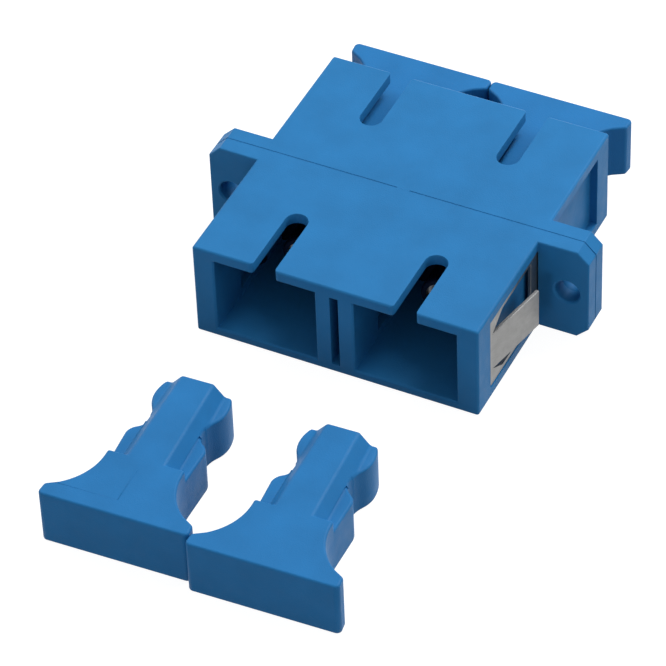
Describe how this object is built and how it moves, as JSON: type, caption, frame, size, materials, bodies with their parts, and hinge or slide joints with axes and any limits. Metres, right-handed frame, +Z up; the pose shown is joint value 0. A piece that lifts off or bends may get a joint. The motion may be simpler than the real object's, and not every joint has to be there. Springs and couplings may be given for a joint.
{
  "type": "duplex fibre optic adapter",
  "caption": "Flanged panel adapter for push-pull fibre connectors, with side spring clips, two dust caps fitted at the back and two lying in front.",
  "frame": {"origin": "centre of the flange's front face, half way between the two screw holes", "axes": "+X right for someone who looks into the open ports, +Y from the open ports to the capped ones, +Z up, key slots on top"},
  "size_m": [0.0348, 0.059, 0.0094],
  "materials": {
    "housing_blue": "satin moulded plastic with a fine texture",
    "cap_blue": "satin moulded plastic, a little smoother",
    "insert_blue": "smooth moulded plastic",
    "ceramic": "polished white ceramic",
    "clip_steel": "rolled spring steel"
  },
  "bodies": {
    "adapter": {"front_housing": "housing_blue", "rear_housing": "housing_blue", "front_holder_left": "insert_blue", "front_holder_right": "insert_blue", "rear_holder_left": "insert_blue", "rear_holder_right": "insert_blue", "sleeve_left": "ceramic", "sleeve_right": "ceramic", "clip_left": "clip_steel", "clip_right": "clip_steel", "loose_cap_left": "cap_blue", "loose_cap_right": "cap_blue"},
    "rear_left": {"rear_cap_left": "cap_blue"},
    "rear_right": {"rear_cap_right": "cap_blue"}
  },
  "joints": [
    {"name": "rear_cap_left_pull", "type": "slide", "parent": "adapter", "child": "rear_left", "axis": [0, 1, 0], "range_m": [0, 0.018]},
    {"name": "rear_cap_right_pull", "type": "slide", "parent": "adapter", "child": "rear_right", "axis": [0, 1, 0], "range_m": [0, 0.018]}
  ]
}
